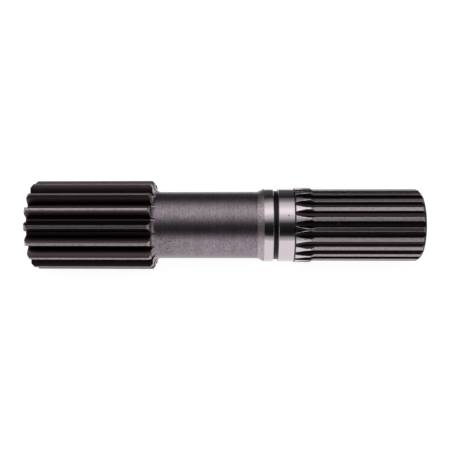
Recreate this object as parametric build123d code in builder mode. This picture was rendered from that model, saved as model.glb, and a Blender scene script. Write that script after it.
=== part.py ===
from build123d import *

import os
from math import acos, cos, degrees, pi, radians, sin, tan

# Sun shaft of a planetary final drive: a pinion, a ground seat and an involute spline in one piece of steel.
# It is turned to a stepped blank, both sets of teeth are hobbed and the seat beside the spline is ground.
# The shaft lies along X on two of its pinion teeth, and Z is up.
# Lengths are in millimetres and angles in degrees.

os.makedirs("parts", exist_ok=True)

# Pinion, hobbed straight through its shoulder
pinion_teeth = 16
pinion_module = 3.0
pinion_shift = 0.4  # profile shift, in modules
pinion_pressure_angle = 20.0
pinion_dedendum = 1.25  # in modules
pinion_root_fillet = 0.35  # in modules
pinion_length = 76.9
pinion_end_chamfer = 1.7
pinion_shoulder_chamfer = 1.5
shoulder_fillet = 3.9

# Neck, turned just under the root of the teeth so that the hob runs out clear of it
neck_relief = 0.25
neck_length = 65.4
neck_cone_length = 4.0

# Ground seat, with a groove for a retaining ring, and the collar left beyond it as it was turned
seat_diameter = 46.5
inner_land_length = 5.7
ring_groove_width = 3.1
ring_groove_depth = 1.45
outer_land_length = 9.95
collar_height = 0.35  # above the seat
collar_length = 9.55
collar_step_length = 0.9
collar_cone_length = 2.5

# Involute spline with a flat root
spline_teeth = 22
spline_module = 2.0
spline_shift = -0.05  # profile shift, in modules
spline_pressure_angle = 30.0
spline_tip_diameter = 45.2
spline_root_diameter = 41.6
spline_length = 66.9
spline_end_chamfer = 2.0
spline_turn = 3.6  # of the first gap from straight down; the spline isn't timed to the pinion
spline_hob_radius = 25.0
spline_hob_overtravel = 1.5  # how far the middle of the hob stands past the spline

# Lathe centre in each end
centre_drill_diameter = 4.0
centre_cone_diameter = 8.5
centre_cone_angle = 60.0
centre_depth = 9.0

# How far the cutters reach past the steel
cutter_reach = 2.0


def involute(angle):
    """Involute function of an angle in radians."""
    return tan(angle) - angle


def gap_half_angle(radius, teeth, module, shift, pressure_angle):
    """Half the angle, in degrees, that one gap between teeth takes up at a radius."""
    pressure = radians(pressure_angle)
    base_radius = module * teeth / 2 * cos(pressure)
    local_pressure = acos(base_radius / max(radius, base_radius))
    half_tooth = (pi / 2 + 2 * shift * tan(pressure)) / teeth
    half_tooth += involute(pressure) - involute(local_pressure)
    return degrees(pi / teeth - half_tooth)


def flank_point(radius, side, *tooth_form):
    """Point of a gap's flank at a radius; the gap points straight down, and side is 1 or -1."""
    turn = radians(gap_half_angle(radius, *tooth_form))
    return (side * radius * sin(turn), -radius * cos(turn))


# Radii and heights that follow from the sizes above
pinion_form = (pinion_teeth, pinion_module, pinion_shift, pinion_pressure_angle)
pinion_pitch_radius = pinion_module * pinion_teeth / 2
pinion_tip_radius = pinion_pitch_radius + pinion_module * (1 + pinion_shift)
pinion_root_radius = pinion_pitch_radius - pinion_module * (pinion_dedendum - pinion_shift)

spline_form = (spline_teeth, spline_module, spline_shift, spline_pressure_angle)
spline_tip_radius = spline_tip_diameter / 2
spline_root_radius = spline_root_diameter / 2

neck_radius = pinion_root_radius - neck_relief
seat_radius = seat_diameter / 2
collar_radius = seat_radius + collar_height
groove_radius = seat_radius - ring_groove_depth
axis_height = pinion_tip_radius * cos(radians(gap_half_angle(pinion_tip_radius, *pinion_form)))

# Places along the shaft, whose middle is at x = 0
shaft_length = pinion_length + neck_length + neck_cone_length + inner_land_length + ring_groove_width
shaft_length += outer_land_length + collar_length + collar_cone_length + spline_length
pinion_start = -shaft_length / 2
pinion_end = pinion_start + pinion_length
neck_end = pinion_end + neck_length
seat_start = neck_end + neck_cone_length
groove_start = seat_start + inner_land_length
groove_end = groove_start + ring_groove_width
seat_end = groove_end + outer_land_length
collar_end = seat_end + collar_length
spline_start = collar_end + collar_cone_length
spline_end = spline_start + spline_length


def across_shaft(x):
    """Plane square to the shaft's axis, with its own Y upwards and its normal along X."""
    return Plane(origin=(x, 0, axis_height), x_dir=(0, 1, 0), z_dir=(1, 0, 0))


def gap_outline(root_radius, outer_radius, *tooth_form):
    """Outline of one gap between teeth, pointing straight down from the shaft's axis."""
    middle_radius = (root_radius + outer_radius) / 2
    with BuildSketch() as gap:
        with BuildLine():
            for side in (-1, 1):
                ThreePointArc(
                    flank_point(root_radius, side, *tooth_form),
                    flank_point(middle_radius, side, *tooth_form),
                    flank_point(outer_radius, side, *tooth_form),
                )
            for radius in (root_radius, outer_radius):
                Line(flank_point(radius, -1, *tooth_form), flank_point(radius, 1, *tooth_form))
        make_face()
    return gap.sketch


# One gap of the pinion, with the round corners that the hob leaves at its root
with BuildSketch() as pinion_gap:
    add(gap_outline(pinion_root_radius, pinion_tip_radius + cutter_reach, *pinion_form))
    root_corners = pinion_gap.vertices().sort_by(Axis.Y)[-2:]
    fillet(root_corners, pinion_root_fillet * pinion_module)

# One gap of the spline, whose root is flat
with BuildSketch() as spline_gap:
    add(gap_outline(spline_root_radius, collar_radius + cutter_reach, *spline_form))

# The path of the hob: straight along the spline, then up out of the collar around the hob's own axis
hob_stop = spline_start - spline_hob_overtravel
hob_height = spline_root_radius + spline_hob_radius
hob_rise = collar_radius + cutter_reach - spline_root_radius
hob_exit_angle = degrees(acos(1 - hob_rise / spline_hob_radius))
hob_axis = Axis((0, -hob_height, 0), (-1, 0, 0))
with BuildPart() as spline_cutter:
    add(spline_gap.sketch)
    extrude(amount=spline_end + cutter_reach - hob_stop)
    add(spline_gap.sketch)
    revolve(axis=hob_axis, revolution_arc=hob_exit_angle)

with BuildPart() as splined_shaft:
    # Turned blank
    with BuildSketch(Plane(origin=(0, 0, axis_height), x_dir=(1, 0, 0), z_dir=(0, -1, 0))):
        with BuildLine():
            Polyline(
                (pinion_start, 0),
                (pinion_start, pinion_tip_radius - pinion_end_chamfer),
                (pinion_start + pinion_end_chamfer, pinion_tip_radius),
                (pinion_end - pinion_shoulder_chamfer, pinion_tip_radius),
                (pinion_end, pinion_tip_radius - pinion_shoulder_chamfer),
                (pinion_end, neck_radius),
                (neck_end, neck_radius),
                (seat_start, seat_radius),
                (groove_start, seat_radius),
                (groove_start, groove_radius),
                (groove_end, groove_radius),
                (groove_end, seat_radius),
                (seat_end, seat_radius),
                (seat_end + collar_step_length, collar_radius),
                (collar_end, collar_radius),
                (spline_start, spline_tip_radius),
                (spline_end - spline_end_chamfer, spline_tip_radius),
                (spline_end, spline_tip_radius - spline_end_chamfer),
                (spline_end, 0),
                close=True,
            )
        make_face()
        shoulder_corner = vertices().sort_by_distance((pinion_end, neck_radius))[0]
        fillet(shoulder_corner, shoulder_fillet)
    revolve(axis=Axis((0, 0, axis_height), (1, 0, 0)))

    # Pinion teeth: the gaps run out through the fillet of the shoulder
    with BuildSketch(across_shaft(pinion_start - cutter_reach)):
        with PolarLocations(0, pinion_teeth):
            add(pinion_gap.sketch)
    extrude(amount=pinion_length + shoulder_fillet + cutter_reach, mode=Mode.SUBTRACT)

    # Spline teeth
    with Locations(across_shaft(hob_stop)):
        with PolarLocations(0, spline_teeth, start_angle=spline_turn):
            add(spline_cutter.part, mode=Mode.SUBTRACT)

    # Lathe centres
    with Locations(across_shaft(spline_end), -across_shaft(pinion_start)):
        CounterSinkHole(
            centre_drill_diameter / 2,
            centre_cone_diameter / 2,
            centre_depth,
            centre_cone_angle,
        )

splined_shaft.part.label = "splined_shaft"
export_step(splined_shaft.part, "parts/splined_shaft.step")
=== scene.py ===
from math import atan2, cos, pi, radians, sin, sqrt, tan

import bpy
import numpy as np
from mathutils import Matrix, Vector


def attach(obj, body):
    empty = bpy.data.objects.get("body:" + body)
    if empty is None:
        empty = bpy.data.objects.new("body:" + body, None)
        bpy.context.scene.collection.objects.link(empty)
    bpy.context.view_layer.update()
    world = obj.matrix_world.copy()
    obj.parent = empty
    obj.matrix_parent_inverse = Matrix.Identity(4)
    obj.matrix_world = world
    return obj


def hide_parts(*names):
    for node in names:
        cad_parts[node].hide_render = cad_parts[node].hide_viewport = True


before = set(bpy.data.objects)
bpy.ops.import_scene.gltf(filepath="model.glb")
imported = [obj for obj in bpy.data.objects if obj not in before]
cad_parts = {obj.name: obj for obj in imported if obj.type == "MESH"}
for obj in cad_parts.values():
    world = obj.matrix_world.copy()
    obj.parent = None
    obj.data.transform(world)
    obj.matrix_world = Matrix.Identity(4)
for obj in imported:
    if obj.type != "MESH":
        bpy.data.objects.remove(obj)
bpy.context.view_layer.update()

# Pinion end of the shaft: case-hardened steel, turned to a stepped blank and hobbed straight through its shoulder.
# One gap with half a tooth on either side of it is drawn here, from the lathe centre to the middle of the neck.
# Lengths are in millimetres, with x = 0 at the middle of the shaft.
pinion_teeth = 16
pinion_form = (pinion_teeth, 3.0, 0.4, 20.0)  # teeth, module, profile shift, pressure angle
pinion_tip = 28.2
pinion_root = 21.45
pinion_root_corner = 1.05
pinion_start = -122.0
pinion_end = -45.1
pinion_end_chamfer = 1.7
shoulder_chamfer = 1.5
shoulder_fillet = 3.9
neck_radius = 21.2
neck_middle = -12.0
neck_steps = 7
centre_drill_radius = 2.0
centre_cone_radius = 4.25
centre_cone_angle = 60.0
centre_cone_depth = (centre_cone_radius - centre_drill_radius) / tan(radians(centre_cone_angle / 2))
centre_depth = 9.0
face_middle_radius = 12.0
inside_roots = 1.0  # how far inside the roots of the pinion its end face has a ring of points
pinion_steps = (19, 3)  # columns of points up each flank, and across half a tip
fillet_angles = (12, 24, 36, 48, 60, 72, 81)
past_tip = 2.0  # how far the outline of a gap goes on past the tips
outline_points = 600
corner_points = 40
halvings = 40
weld = 0.02  # nearer than this, two rings of points are one
ring_spacing = 0.1  # an added ring keeps this far from the others
touching = 0.0001  # a point this near to the edge of a cut lies on it


def gap_half_angle(radius, teeth, module, shift, pressure_angle):
    """Half the angle in radians that one gap between teeth takes up at each radius."""
    pressure = radians(pressure_angle)
    base = module * teeth / 2 * cos(pressure)
    local = np.arccos(base / np.maximum(radius, base))
    half_tooth = (pi / 2 + 2 * shift * tan(pressure)) / teeth
    half_tooth = half_tooth + tan(pressure) - pressure - (np.tan(local) - local)
    return pi / teeth - half_tooth


def gap_outline(root, outer, corner, form):
    """Half of a gap, from the middle of its floor up one flank, as rows of (across, out)."""
    radius = np.linspace(root, outer, outline_points)
    turn = gap_half_angle(radius, *form)
    flank = np.stack([radius * np.sin(turn), radius * np.cos(turn)], 1)
    floor = flank[0, 1]
    near, far = 0.0, flank[0, 0]
    for _ in range(halvings):
        middle = (near + far) / 2
        clear = np.hypot(*(flank - (middle, floor + corner)).T).min() > corner
        near, far = (middle, far) if clear else (near, middle)
    touch = np.hypot(*(flank - (near, floor + corner)).T).argmin()
    last_bend = atan2(flank[touch, 0] - near, floor + corner - flank[touch, 1])
    bend = np.linspace(0, last_bend, corner_points)
    arc = np.stack([near + corner * np.sin(bend), floor + corner - corner * np.cos(bend)], 1)
    return np.vstack([[(0, floor)], arc, flank[touch + 1:]])


def half_pitch(outline, tip, teeth, on_gap, on_land):
    """Angles of the columns of half a pitch: even steps up the gap's outline, then across the tip."""
    along = np.concatenate([[0], np.cumsum(np.hypot(*np.diff(outline, axis=0).T))])
    to_tip = np.interp(tip, np.hypot(*outline.T), along)
    turn = np.interp(np.linspace(0, to_tip, on_gap + 1), along, np.arctan2(*outline.T))
    return np.concatenate([turn, np.linspace(turn[-1], pi / teeth, on_land + 1)[1:]])


def cut_radius(angle, outline, travel=0.0, hob_height=0.0):
    """How far out the gap's surface lies at each angle; travel is how far past the hob's middle it is."""
    across, out = outline.T
    if travel:
        out = hob_height - np.sqrt((hob_height - out) ** 2 - travel**2)
    return np.interp(np.abs(angle), np.arctan2(across, out), np.hypot(across, out), right=np.inf)


def radii_between(low, high, cuts, extra=()):
    """Radii in rising order at which rings are needed from low to high; extra ones give way to the others."""
    kept = [r for r in cuts if low + weld < r < high - weld] + [low, high]
    for r in extra:
        if all(abs(k - r) > ring_spacing for k in kept):
            kept.append(r)
    return sorted(kept)


def draw_sector(name, rings, surface):
    """Mesh of one pitch. A face that the edge of a cut crosses is split along that edge."""
    points, on_edge, faces = [], [], []
    for x, blank, angle in rings:
        cut = surface(x, angle)
        radius = np.minimum(blank, cut)
        on_edge.append(np.abs(cut - blank) < touching)
        points.append(np.stack([np.full_like(angle, x), radius * np.sin(angle), -radius * np.cos(angle)], 1))
    width = len(points[0])
    for ring in range(len(rings) - 1):
        for column in range(width - 1):
            a = ring * width + column
            b, c, d = a + 1, a + width + 1, a + width
            if on_edge[ring][column] and on_edge[ring + 1][column + 1]:
                faces += [(a, b, c), (a, c, d)]
            elif on_edge[ring][column + 1] and on_edge[ring + 1][column]:
                faces += [(a, b, d), (b, c, d)]
            else:
                faces.append((a, b, c, d))
    mesh = bpy.data.meshes.new(name)
    mesh.from_pydata((np.vstack(points) / 1000).tolist(), [], faces)
    made = bpy.data.objects.new(name, mesh)
    bpy.context.scene.collection.objects.link(made)
    return made


pinion_outline = gap_outline(pinion_root, pinion_tip + past_tip, pinion_root_corner, pinion_form)
pinion_half = half_pitch(pinion_outline, pinion_tip, pinion_teeth, *pinion_steps)
pinion_columns = np.concatenate([-pinion_half[:0:-1], pinion_half])
pinion_even = np.linspace(-pi / pinion_teeth, pi / pinion_teeth, len(pinion_columns))
pinion_cuts = [r for r in cut_radius(pinion_half, pinion_outline) if r < pinion_tip - weld]

pinion_face = pinion_tip - pinion_end_chamfer
shoulder_face = pinion_tip - shoulder_chamfer
fillet_top = neck_radius + shoulder_fillet
fillet_steps = [fillet_top - shoulder_fillet * sin(radians(a)) for a in fillet_angles]
pinion_profile = [
    (pinion_start + centre_depth, 0.0),
    (pinion_start + centre_depth, centre_drill_radius),
    (pinion_start + centre_cone_depth, centre_drill_radius),
    (pinion_start, centre_cone_radius),
    (pinion_start, face_middle_radius),
]
pinion_floor = min(pinion_cuts) - inside_roots
for r in radii_between(pinion_floor, pinion_face, pinion_cuts):
    pinion_profile.append((pinion_start, r))
for r in radii_between(pinion_face, pinion_tip, pinion_cuts)[1:]:
    pinion_profile.append((pinion_start + r - pinion_face, r))
for r in radii_between(shoulder_face, pinion_tip, pinion_cuts)[::-1]:
    pinion_profile.append((pinion_end + shoulder_face - r, r))
for r in radii_between(fillet_top, shoulder_face, pinion_cuts)[-2::-1]:
    pinion_profile.append((pinion_end, r))
for r in radii_between(neck_radius, fillet_top, pinion_cuts, fillet_steps)[-2::-1]:
    reach = sqrt(max(shoulder_fillet**2 - (fillet_top - r) ** 2, 0))
    pinion_profile.append((pinion_end + shoulder_fillet - reach, r))

pinion_rings = [(x, r, pinion_columns) for x, r in pinion_profile]
neck_start = pinion_end + shoulder_fillet
for share in np.linspace(0, 1, neck_steps + 1)[1:]:
    spread = pinion_columns + (pinion_even - pinion_columns) * share
    pinion_rings.append((neck_start + (neck_middle - neck_start) * share, neck_radius, spread))
pinion_sector = draw_sector("pinion_sector", pinion_rings, lambda x, angle: cut_radius(angle, pinion_outline))

# Spline end: the other half of the neck, the ground seat with its ring groove, the collar and the spline.
# The hob runs along the spline and lifts out through the collar, so each gap ends there in a tapered run-out.
spline_teeth = 22
spline_form = (spline_teeth, 2.0, -0.05, 30.0)
spline_tip = 22.6
spline_root = 20.8
spline_root_corner = 0.3
spline_start = 55.1
spline_end = 122.0
spline_end_chamfer = 2.0
hob_radius = 25.0
hob_stop = spline_start - 1.5
hob_lift_length = 13.0
lift_start = 41.0
neck_end = 20.3
seat_start = 24.3
seat_end = 43.05
seat_radius = 23.25
groove_start = 30.0
groove_end = 33.1
groove_radius = 21.8
groove_edge = 0.2
collar_start = 43.95
collar_end = 52.6
collar_radius = 23.6
spline_steps = (10, 6)  # columns of points up each flank, and across half a tip
run_out_step = 0.9
run_out_spacing = 0.15  # rings of the even steps this near to a column's exit give way to it
turned_spacing = 0.03  # and this near to an edge of the turned blank, to that edge


def spline_surface(x, angle):
    """Radius of the spline's gaps at a place along the shaft, none beyond where the hob has left the steel."""
    travel = max(0.0, hob_stop - x)
    if travel > hob_lift_length:
        return np.full_like(angle, np.inf)
    return cut_radius(angle, spline_outline, travel, spline_root + hob_radius)


def collar_blank(x):
    """Radius of the turned blank from the seat over the collar to the spline."""
    steps = (seat_end, collar_start, collar_end, spline_start)
    return np.interp(x, steps, (seat_radius, collar_radius, collar_radius, spline_tip))


spline_outline = gap_outline(spline_root, collar_radius + past_tip, spline_root_corner, spline_form)
spline_half = half_pitch(spline_outline, spline_tip, spline_teeth, *spline_steps)
spline_columns = np.concatenate([-spline_half[:0:-1], spline_half])
spline_even = np.linspace(-pi / spline_teeth, pi / spline_teeth, len(spline_columns))
spline_cuts = [r for r in cut_radius(spline_half, spline_outline) if r < spline_tip - weld]

# Places along the collar where a column of points leaves the cut, with even steps between them. Each is found
# by halving the stretch in which it lies.
run_out_places = list(np.arange(lift_start, spline_start, run_out_step))
for turn in spline_half:
    near, far = lift_start, spline_start
    above = [spline_surface(x, np.array([turn]))[0] > collar_blank(x) for x in (near, far)]
    if above[0] and not above[1]:
        for _ in range(halvings):
            middle = (near + far) / 2
            clear = spline_surface(middle, np.array([turn]))[0] > collar_blank(middle)
            near, far = (middle, far) if clear else (near, middle)
        run_out_places = [x for x in run_out_places if abs(x - near) > run_out_spacing] + [near]
turned_places = (seat_end, collar_start, collar_end)
run_out_places = [x for x in run_out_places
                  if min(abs(x - turned) for turned in turned_places) > turned_spacing]
run_out_places = sorted(run_out_places + [*turned_places, spline_start])

spline_face = spline_tip - spline_end_chamfer
spline_profile = [
    (neck_end, neck_radius),
    (seat_start, seat_radius),
    (groove_start - groove_edge, seat_radius),
    (groove_start, seat_radius - groove_edge),
    (groove_start, groove_radius + groove_edge),
    (groove_start + groove_edge, groove_radius),
    (groove_end - groove_edge, groove_radius),
    (groove_end, groove_radius + groove_edge),
    (groove_end, seat_radius - groove_edge),
    (groove_end + groove_edge, seat_radius),
]
spline_profile += [(x, float(collar_blank(x))) for x in run_out_places]
spline_profile.append((spline_end - spline_end_chamfer, spline_tip))
for r in radii_between(spline_face, spline_tip, spline_cuts)[-2::-1]:
    spline_profile.append((spline_end - r + spline_face, r))
spline_profile += [
    (spline_end, face_middle_radius),
    (spline_end, centre_cone_radius),
    (spline_end - centre_cone_depth, centre_drill_radius),
    (spline_end - centre_depth, centre_drill_radius),
    (spline_end - centre_depth, 0.0),
]
spline_rings = []
for share in np.linspace(0, 1, neck_steps + 1)[:-1]:
    spread = spline_even + (spline_columns - spline_even) * share
    spline_rings.append((neck_middle + (neck_end - neck_middle) * share, neck_radius, spread))
spline_rings += [(x, r, spline_columns) for x, r in spline_profile]
spline_sector = draw_sector("spline_sector", spline_rings, spline_surface)

# The steel of the shaft: alloy steel, case hardened, so heat has left it dark grey with a faint purple tint.
# Hobbed gaps stay darkest, the turned neck is satin with rings and grain, the seat and collar are ground near to
# a mirror, the edges of the teeth carry a painted highlight, and the gaps and the ring groove get painted shade.
# The finest marks are drawn coarse enough to show.
axis_height = 27.8088
edge_round = 0.25
# Reach of the ambient occlusion behind the painted shade in the gaps, in millimetres
gap_shade_reach = 5.0
marks_depth = 0.008

# Sizes of the patterns along the shaft and across it. The stains are as wide as hardening leaves them. Specks,
# grain, tool rings and scratches are really 0.1 to 0.3 mm apart, too fine to show, so they are drawn coarser.
stain_size = (6.67, 6.67, 6.67)
speck_size = (0.667, 0.667, 0.667)
grain_size = (0.667, 1.667, 1.667)
tool_ring_size = (1.111, 40.0, 40.0)
scratch_size = (2.857, 0.667, 0.667)


def add_node(tree, kind, inputs=None, out=0, **settings):
    """Add a node with its settings, link or fill its inputs by name or number, and return one output."""
    made = tree.nodes.new(kind)
    for name, value in settings.items():
        setattr(made, name, value)
    for socket, value in (inputs or {}).items():
        if isinstance(value, bpy.types.NodeSocket):
            tree.links.new(value, made.inputs[socket])
        else:
            made.inputs[socket].default_value = value
    return made if out is None else made.outputs[out]


def linear(code):
    """Colour for a shader from an sRGB hex code."""
    parts = [int(code[i:i + 2], 16) / 255 for i in (0, 2, 4)]
    return (*[p / 12.92 if p <= 0.04045 else ((p + 0.055) / 1.055) ** 2.4 for p in parts], 1)


steel = bpy.data.materials.new("case_hardened_steel")
steel.use_nodes = True
steel_tree = steel.node_tree
steel_tree.nodes.clear()

# Place on the shaft: millimetres along it, and millimetres out from its axis
place = add_node(steel_tree, "ShaderNodeTexCoord", out="Object")
metres_along = add_node(steel_tree, "ShaderNodeSeparateXYZ", {0: place})
along = add_node(steel_tree, "ShaderNodeMath", {0: metres_along, 1: 1000.0}, operation="MULTIPLY")
axis_place = (0, 0, axis_height / 1000)
from_axis = add_node(steel_tree, "ShaderNodeVectorMath", {0: place, 1: axis_place}, operation="SUBTRACT")
radial = add_node(steel_tree, "ShaderNodeVectorMath", {0: from_axis, 1: (0, 1000, 1000)}, operation="MULTIPLY")
out_from_axis = add_node(steel_tree, "ShaderNodeVectorMath", {0: radial}, "Value", operation="LENGTH")

# Depth under the turned skin of the blank, on the pinion with its two chamfers and on the spline with its collar
skins = []
for low, high, low_skin, high_skin in (
    (pinion_start, pinion_start + pinion_end_chamfer, pinion_face, pinion_tip),
    (pinion_end - shoulder_chamfer, pinion_end, pinion_tip, shoulder_face),
    (collar_end, spline_start, collar_radius, spline_tip),
):
    skins.append(add_node(steel_tree, "ShaderNodeMapRange", {
        "Value": along, "From Min": low, "From Max": high, "To Min": low_skin, "To Max": high_skin}))
pinion_skin = add_node(steel_tree, "ShaderNodeMath", {0: skins[0], 1: skins[1]}, operation="MINIMUM")
pinion_depth = add_node(steel_tree, "ShaderNodeMath", {0: pinion_skin, 1: out_from_axis}, operation="SUBTRACT")
spline_depth = add_node(steel_tree, "ShaderNodeMath", {0: skins[2], 1: out_from_axis}, operation="SUBTRACT")

# What the surface carries: stains from the heat, grain, tool rings around the axis and scratches along the cone
marks = {}
for name, size, detail in (
    ("stains", stain_size, 6.0),
    ("specks", speck_size, 3.0),
    ("grain", grain_size, 4.0),
    ("tool_rings", tool_ring_size, 5.0),
    ("scratches", scratch_size, 4.0),
):
    per_metre = [1000 / millimetres for millimetres in size]
    stretched = add_node(steel_tree, "ShaderNodeVectorMath", {0: place, 1: per_metre}, operation="MULTIPLY")
    marks[name] = add_node(steel_tree, "ShaderNodeTexNoise", {
        "Vector": stretched, "Scale": 1.0, "Detail": detail, "Roughness": 0.6})

# The gaps get painted shade where ambient occlusion finds them closed in, the edges get a painted highlight,
# and there is one spot of rust, one nick and some pits
rounded = add_node(steel_tree, "ShaderNodeBevel", {"Radius": edge_round / 1000}, samples=6)
flat = add_node(steel_tree, "ShaderNodeNewGeometry", out="Normal")
edge = add_node(steel_tree, "ShaderNodeVectorMath", {0: rounded, 1: flat}, "Value", operation="DOT_PRODUCT")
openness = add_node(steel_tree, "ShaderNodeAmbientOcclusion", {"Distance": gap_shade_reach / 1000}, "AO",
                    samples=8)
spots = {}
for name, where in (
    ("rust", (0.0692, -0.0169, 0.0411)),
    ("nick", (0.0390, -0.0148, 0.0457)),
    ("pits", (-0.0373, -0.0212, 0.0275)),
):
    spots[name] = add_node(steel_tree, "ShaderNodeVectorMath", {0: place, 1: where}, "Value", operation="DISTANCE")

# Each mask rises smoothly from 0 at the first value to 1 at the second. Places and depths are in millimetres,
# the distances to the three spots in metres.
masks = {}
for name, value, none, full in (
    ("pinion", along, pinion_end + 0.15, pinion_end - 0.05),
    ("spline", along, seat_end - 0.5, seat_end - 0.3),
    ("pinion_gap", pinion_depth, 0.05, 0.25),
    ("spline_gap", spline_depth, 0.05, 0.25),
    ("spline_deep", spline_depth, 0.9, 0.3),
    ("spline_tips", along, collar_end + 0.2, collar_end + 0.9),
    ("seat_from", along, seat_start - 0.06, seat_start + 0.06),
    ("seat_to", along, collar_end + 0.3, collar_end - 0.3),
    ("seat_skin", out_from_axis, seat_radius - 0.35, seat_radius - 0.15),
    ("cone_from", along, neck_end - 0.1, neck_end + 0.1),
    ("cone_to", along, seat_start + 0.06, seat_start - 0.06),
    ("groove_from", along, groove_start - 0.05, groove_start + 0.05),
    ("groove_to", along, groove_end + 0.05, groove_end - 0.05),
    ("groove_skin", out_from_axis, seat_radius - 0.1, seat_radius - 0.4),
    ("stained", marks["stains"], 0.35, 0.65),
    ("speckled", marks["specks"], 0.5, 0.68),
    ("grained", marks["grain"], 0.4, 0.66),
    ("ringed", marks["tool_rings"], 0.35, 0.65),
    ("scratched", marks["scratches"], 0.46, 0.6),
    ("pitted", marks["specks"], 0.54, 0.6),
    ("edge", edge, 0.985, 0.88),
    # painted shade: darker where ambient occlusion finds the surface closed in
    ("gap_shade", openness, 0.9, 0.5),
    ("rust", spots["rust"], 0.0011, 0.0005),
    ("nick", spots["nick"], 0.0007, 0.0003),
    ("pit_patch", spots["pits"], 0.013, 0.004),
):
    masks[name] = add_node(steel_tree, "ShaderNodeMapRange", {
        "Value": value, "From Min": none, "From Max": full}, interpolation_type="SMOOTHSTEP")
for name, operation, first, second in (
    ("pinion_gap", "MULTIPLY", "pinion", "pinion_gap"),
    ("spline_gap", "MULTIPLY", "spline", "spline_gap"),
    ("hobbed", "MAXIMUM", "pinion_gap", "spline_gap"),
    ("tips", "MAXIMUM", "pinion", "spline_tips"),
    ("cone", "MULTIPLY", "cone_from", "cone_to"),
    ("groove_shade", "MULTIPLY", "groove_from", "groove_to"),
    ("groove_shade", "MULTIPLY", "groove_shade", "groove_skin"),
    ("ground", "MULTIPLY", "seat_from", "seat_to"),
    ("ground", "MULTIPLY", "ground", "seat_skin"),
    ("cone_scratches", "MULTIPLY", "cone", "scratched"),
    ("tip_specks", "MULTIPLY", "tips", "speckled"),
    # the painted shade is kept to the hobbed gaps
    ("gap_shade", "MULTIPLY", "gap_shade", "hobbed"),
    ("pits", "MULTIPLY", "pitted", "pit_patch"),
    # painted highlight on the edges: everywhere off the spline, and on the spline only near its turned skin
    ("off_spline", "SUBTRACT", 1.0, "spline"),
    ("edge_highlight", "MAXIMUM", "off_spline", "spline_deep"),
    ("edge_highlight", "MULTIPLY", "edge_highlight", "edge"),
):
    masks[name] = add_node(steel_tree, "ShaderNodeMath", {
        0: masks.get(first, first), 1: masks.get(second, second)}, operation=operation)

# The finishes, laid one over another, with painted shade and a painted highlight among them: where, how strongly,
# colour and roughness
steel_colour, roughness = linear("8E838B"), 0.31
for name, strength, colour, rough in (
    ("stained", 0.6, "7C7279", 0.28),
    ("ringed", 0.45, "9E939B", 0.3),
    ("grained", 0.5, "554D50", 0.37),
    ("pits", 0.8, "3B3D35", 0.5),
    ("cone", 1.0, "B5A9AD", 0.38),
    ("cone_scratches", 0.8, "7F7476", 0.45),
    ("ground", 1.0, "CBC0C8", 0.1),
    # painted shade: the whole ring groove is darkened
    ("groove_shade", 1.0, "2C2729", 0.4),
    ("tips", 1.0, "9A9095", 0.33),
    ("tip_specks", 0.8, "564E50", 0.42),
    ("pinion_gap", 1.0, "534749", 0.33),
    ("spline_gap", 1.0, "393133", 0.32),
    # painted shade, near black, deep in the gaps
    ("gap_shade", 0.9, "1C1819", 0.4),
    # painted highlight, pale, along the edges
    ("edge_highlight", 0.9, "DAD2D6", 0.28),
    ("nick", 0.7, "3A3234", 0.5),
    ("rust", 1.0, "6E3520", 0.8),
):
    share = add_node(steel_tree, "ShaderNodeMath", {0: masks[name], 1: strength}, operation="MULTIPLY")
    steel_colour = add_node(steel_tree, "ShaderNodeMix", {
        0: share, 6: steel_colour, 7: linear(colour)}, 2, data_type="RGBA")
    roughness = add_node(steel_tree, "ShaderNodeMix", {0: share, 2: roughness, 3: rough})

# Depth of the marks: grain and tool rings on turned steel, specks in the gaps, scratches on the cone
relief = add_node(steel_tree, "ShaderNodeMix", {0: 0.5, 2: marks["tool_rings"], 3: marks["grain"]})
for name, height in (("hobbed", marks["specks"]), ("cone", marks["scratches"]), ("ground", 0.5)):
    relief = add_node(steel_tree, "ShaderNodeMix", {0: masks[name], 2: relief, 3: height})
normal = add_node(steel_tree, "ShaderNodeBump", {
    "Strength": 1.0, "Distance": marks_depth / 1000, "Height": relief, "Normal": rounded})
metal = add_node(steel_tree, "ShaderNodeMath", {0: 1.0, 1: masks["rust"]}, operation="SUBTRACT")
surface = add_node(steel_tree, "ShaderNodeBsdfPrincipled", {
    "Base Color": steel_colour, "Metallic": metal, "Roughness": roughness, "Normal": normal})
add_node(steel_tree, "ShaderNodeOutputMaterial", {"Surface": surface}, None)

# The whole shaft: the pinion's sector is set around the axis 16 times and the spline's 22 times, and the points
# where they meet are welded, so that it is one closed piece of steel.
columns_turned = 7  # the spline isn't timed to the pinion, but on the neck its columns of points meet the pinion's
spline_turn = columns_turned * 2 * pi / (pinion_teeth * (len(pinion_columns) - 1))
weld_distance = 0.004
sharp_angle = 28
around = bpy.data.node_groups.new("teeth_around_the_axis", "GeometryNodeTree")
around.interface.new_socket(name="Pinion sector", in_out="INPUT", socket_type="NodeSocketGeometry")
around.interface.new_socket(name="Shaft", in_out="OUTPUT", socket_type="NodeSocketGeometry")
settings = {}
for label, kind, value in (
    ("Pinion teeth", "Int", pinion_teeth),
    ("Spline sector", "Object", spline_sector),
    ("Spline teeth", "Int", spline_teeth),
    ("Spline turn", "Float", spline_turn),
    ("Axis height", "Float", axis_height / 1000),
    ("Weld distance", "Float", weld_distance / 1000),
    ("Steel", "Material", steel),
):
    socket = around.interface.new_socket(name=label, in_out="INPUT", socket_type="NodeSocket" + kind)
    settings[socket.identifier] = value
given = add_node(around, "NodeGroupInput", out=None).outputs


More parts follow.
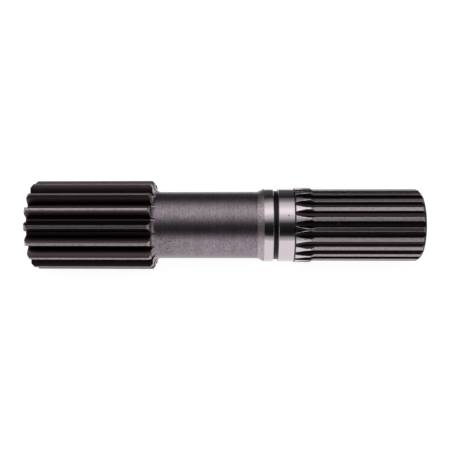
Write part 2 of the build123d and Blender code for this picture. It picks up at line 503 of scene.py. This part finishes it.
def ring_of(sector, teeth, turn):
    """Instances of a sector, one for each tooth, set evenly around the X axis."""
    places = add_node(around, "GeometryNodeMeshLine", {"Count": teeth, "Offset": (0, 0, 0)})
    number = add_node(around, "GeometryNodeInputIndex")
    share = add_node(around, "ShaderNodeMath", {0: number, 1: teeth}, operation="DIVIDE")
    angle = add_node(around, "ShaderNodeMath", {0: share, 1: 2 * pi, 2: turn}, operation="MULTIPLY_ADD")
    turned = add_node(around, "FunctionNodeAxisAngleToRotation", {"Axis": (1, 0, 0), "Angle": angle})
    return add_node(around, "GeometryNodeInstanceOnPoints", {
        "Points": places, "Instance": sector, "Rotation": turned})


spline_mesh = add_node(around, "GeometryNodeObjectInfo", {"Object": given["Spline sector"]}, "Geometry")
joined = add_node(around, "GeometryNodeJoinGeometry", out=None)
for part in (
    ring_of(given["Pinion sector"], given["Pinion teeth"], 0.0),
    ring_of(spline_mesh, given["Spline teeth"], given["Spline turn"]),
):
    around.links.new(part, joined.inputs[0])
real = add_node(around, "GeometryNodeRealizeInstances", {0: joined.outputs[0]})
welded = add_node(around, "GeometryNodeMergeByDistance", {0: real, "Distance": given["Weld distance"]})
height = add_node(around, "ShaderNodeCombineXYZ", {"Z": given["Axis height"]})
lifted = add_node(around, "GeometryNodeTransform", {0: welded, "Translation": height})
steeled = add_node(around, "GeometryNodeSetMaterial", {0: lifted, "Material": given["Steel"]})
add_node(around, "NodeGroupOutput", {0: steeled}, None)

array = pinion_sector.modifiers.new("Teeth around the axis", "NODES")
array.node_group = around
for identifier, value in settings.items():
    array[identifier] = value
bpy.context.view_layer.update()
evaluated = pinion_sector.evaluated_get(bpy.context.evaluated_depsgraph_get())
shaft_mesh = bpy.data.meshes.new_from_object(evaluated)
shaft_mesh.name = "turned_and_hobbed_shaft"
shaft = bpy.data.objects.new("turned_and_hobbed_shaft", shaft_mesh)
bpy.context.scene.collection.objects.link(shaft)
for source in (pinion_sector, spline_sector):
    bpy.data.objects.remove(source)
shaft_mesh.polygons.foreach_set("use_smooth", [True] * len(shaft_mesh.polygons))
shaft_mesh.set_sharp_from_angle(angle=radians(sharp_angle))
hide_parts("splined_shaft")
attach(shaft, "root")

# The floor: a white light table that the shaft lies on. It glows, so the shadow on it stays faint. Its front edge
# is near the shaft, and past it the light from below the horizon takes over.
floor_reach = 4.0
floor_front = -0.16
table_grey = 0.25
table_glow = 0.95
corners = [(-floor_reach, floor_front, 0), (floor_reach, floor_front, 0),
           (floor_reach, floor_reach, 0), (-floor_reach, floor_reach, 0)]
floor_mesh = bpy.data.meshes.new("white_table")
floor_mesh.from_pydata(corners, [], [(0, 1, 2, 3)])
floor = bpy.data.objects.new("white_table", floor_mesh)
bpy.context.scene.collection.objects.link(floor)
table = bpy.data.materials.new("white_table")
table.use_nodes = True
table_tree = table.node_tree
table_tree.nodes.clear()
matt = add_node(table_tree, "ShaderNodeBsdfDiffuse", {"Color": (table_grey, table_grey, table_grey, 1)})
glow = add_node(table_tree, "ShaderNodeEmission", {"Color": (1, 1, 1, 1), "Strength": table_glow})
both = add_node(table_tree, "ShaderNodeAddShader", {0: matt, 1: glow})
add_node(table_tree, "ShaderNodeOutputMaterial", {"Surface": both}, None)
floor_mesh.materials.append(table)

# The light: a long soft box overhead along the shaft, brightest a little in front of straight up. The room in
# front of it is dark, the room behind is dim grey, and below the horizon it is as light as the table. The stops
# are (degrees up from the front, light). Towards both ends of the shaft the light is an even grey.
soft_box = (
    (-180, 1.05), (-34, 1.04), (-20, 0.9), (-12, 0.75), (-8, 0.6), (-2, 0.38), (1, 0.17), (4, 0.05),
    (7, 0.023), (16, 0.01), (29, 0.017), (41, 0.042), (47, 0.217), (53, 0.465), (59, 0.75), (66, 0.94),
    (72, 1.23), (80, 1.4), (88, 1.27), (95, 1.04), (99, 0.92), (106, 0.85), (110, 0.62), (118, 0.307),
    (127, 0.148), (131, 0.042), (136, 0.024), (146, 0.059), (158, 0.086), (174, 0.127), (180, 0.14),
)
brightest = 1.4
side_light = 0.35
side_start, side_full = 0.7, 0.97
world = bpy.data.worlds.new("soft_box_overhead")
bpy.context.scene.world = world
world.use_nodes = True
world_tree = world.node_tree
world_tree.nodes.clear()
direction = add_node(world_tree, "ShaderNodeTexCoord", out="Generated")
towards = add_node(world_tree, "ShaderNodeSeparateXYZ", {0: direction}, None).outputs
front = add_node(world_tree, "ShaderNodeMath", {0: towards[1], 1: -1.0}, operation="MULTIPLY")
up = add_node(world_tree, "ShaderNodeMath", {0: towards[2], 1: front}, operation="ARCTAN2")
turn_up = add_node(world_tree, "ShaderNodeMapRange", {"Value": up, "From Min": -pi, "From Max": pi})
ramp = add_node(world_tree, "ShaderNodeValToRGB", {0: turn_up}, None)
stops = ramp.color_ramp.elements
for number, (degrees_up, light) in enumerate(soft_box):
    spot = (degrees_up + 180) / 360
    stop = stops[0] if number == 0 else stops[-1] if degrees_up == 180 else stops.new(spot)
    stop.position = spot
    stop.color = (light / brightest, light / brightest, light / brightest, 1)
sideways = add_node(world_tree, "ShaderNodeMath", {0: towards[0]}, operation="ABSOLUTE")
to_side = add_node(world_tree, "ShaderNodeMapRange", {
    "Value": sideways, "From Min": side_start, "From Max": side_full}, interpolation_type="SMOOTHSTEP")
side_colour = (side_light, side_light, side_light, 1)
room = add_node(world_tree, "ShaderNodeMix", {
    0: to_side, 6: ramp.outputs[0], 7: side_colour}, 2, data_type="RGBA")
lit = add_node(world_tree, "ShaderNodeBackground", {"Color": room, "Strength": brightest})
seen = add_node(world_tree, "ShaderNodeBackground", {"Color": (1, 1, 1, 1), "Strength": 1.0})
to_camera = add_node(world_tree, "ShaderNodeLightPath", out="Is Camera Ray")
either = add_node(world_tree, "ShaderNodeMixShader", {0: to_camera, 1: lit, 2: seen})
add_node(world_tree, "ShaderNodeOutputWorld", {"Surface": either}, None)

# The camera stands a little right of the shaft's middle and looks down on it, turned so that the axis is level.
azimuth = radians(2.54)
elevation = radians(36.23)
reach_of_camera = 0.4277
aim = Vector((-0.0004, 0, axis_height / 1000))
back = Vector((sin(azimuth) * cos(elevation), -cos(azimuth) * cos(elevation), sin(elevation)))
right = (Vector((1, 0, 0)) - back * back.x).normalized()
upward = back.cross(right)
lens = bpy.data.cameras.new("camera")
lens.sensor_width = 36
lens.lens = 53.55
camera = bpy.data.objects.new("camera", lens)
bpy.context.scene.collection.objects.link(camera)
turned_to = Matrix((right, upward, back)).transposed().to_4x4()
camera.matrix_world = Matrix.Translation(aim + back * reach_of_camera) @ turned_to
bpy.context.scene.camera = camera
bpy.context.scene.view_settings.view_transform = "Standard"
